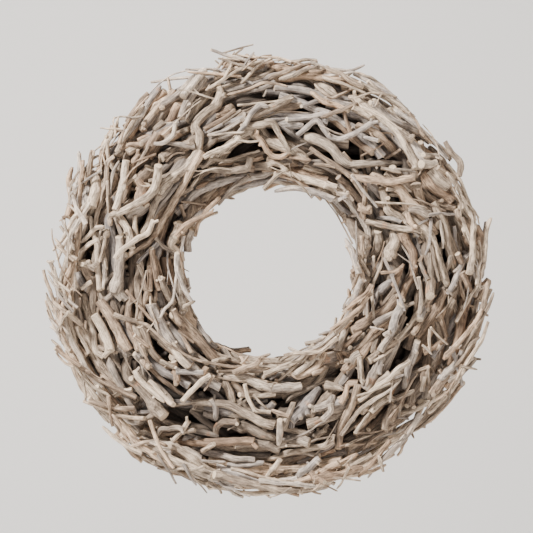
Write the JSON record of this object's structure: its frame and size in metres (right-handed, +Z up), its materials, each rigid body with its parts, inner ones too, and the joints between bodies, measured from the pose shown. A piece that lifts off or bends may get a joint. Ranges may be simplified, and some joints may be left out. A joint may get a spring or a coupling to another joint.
{
  "type": "root branch wreath",
  "caption": "Round hanging wreath of crooked, whitewashed root branches piled thickly over a steel ring frame, with a wire loop at the top of its back.",
  "frame": {"origin": "where the nail bears in the hanging loop, at the wall's face behind the top of the wreath", "axes": "+Z up, +Y into the wall, so the wreath faces -Y; the ring's centre lies 217 mm below the origin"},
  "size_m": [0.5126, 0.119, 0.5078],
  "materials": {
    "frame_steel": "satin black, a little worn",
    "loop_wire": "dull galvanised wire",
    "root_wood": "whitewashed root bark with pale cut ends, matt"
  },
  "bodies": {
    "root": {"frame": "frame_steel", "hanging_loop": "loop_wire", "root_bunch_01": "root_wood", "root_bunch_02": "root_wood", "root_bunch_03": "root_wood", "root_bunch_04": "root_wood", "root_bunch_05": "root_wood", "root_bunch_06": "root_wood", "root_bunch_07": "root_wood", "root_bunch_08": "root_wood", "root_bunch_09": "root_wood", "root_bunch_10": "root_wood", "root_bunch_11": "root_wood", "root_bunch_12": "root_wood", "root_branch_01": "root_wood", "root_branch_02": "root_wood", "root_branch_03": "root_wood", "root_branch_04": "root_wood", "root_branch_05": "root_wood", "root_branch_06": "root_wood", "root_branch_07": "root_wood", "root_branch_08": "root_wood", "root_branch_09": "root_wood", "root_branch_10": "root_wood", "root_branch_11": "root_wood", "root_branch_12": "root_wood", "root_branch_13": "root_wood", "root_branch_14": "root_wood", "root_branch_15": "root_wood", "root_branch_16": "root_wood", "root_branch_17": "root_wood", "root_branch_18": "root_wood", "root_branch_19": "root_wood", "root_branch_20": "root_wood", "root_branch_21": "root_wood", "root_branch_22": "root_wood", "root_branch_23": "root_wood", "root_branch_24": "root_wood", "root_branch_25": "root_wood", "root_branch_26": "root_wood", "root_branch_27": "root_wood", "root_branch_28": "root_wood", "root_branch_29": "root_wood", "root_branch_30": "root_wood", "root_branch_31": "root_wood", "root_branch_32": "root_wood", "root_branch_33": "root_wood", "root_branch_34": "root_wood", "root_branch_35": "root_wood", "root_branch_36": "root_wood", "root_branch_37": "root_wood", "root_branch_38": "root_wood", "root_branch_39": "root_wood", "root_branch_40": "root_wood", "root_branch_41": "root_wood", "root_branch_42": "root_wood", "root_branch_43": "root_wood", "root_branch_44": "root_wood", "root_branch_45": "root_wood"}
  },
  "joints": []
}
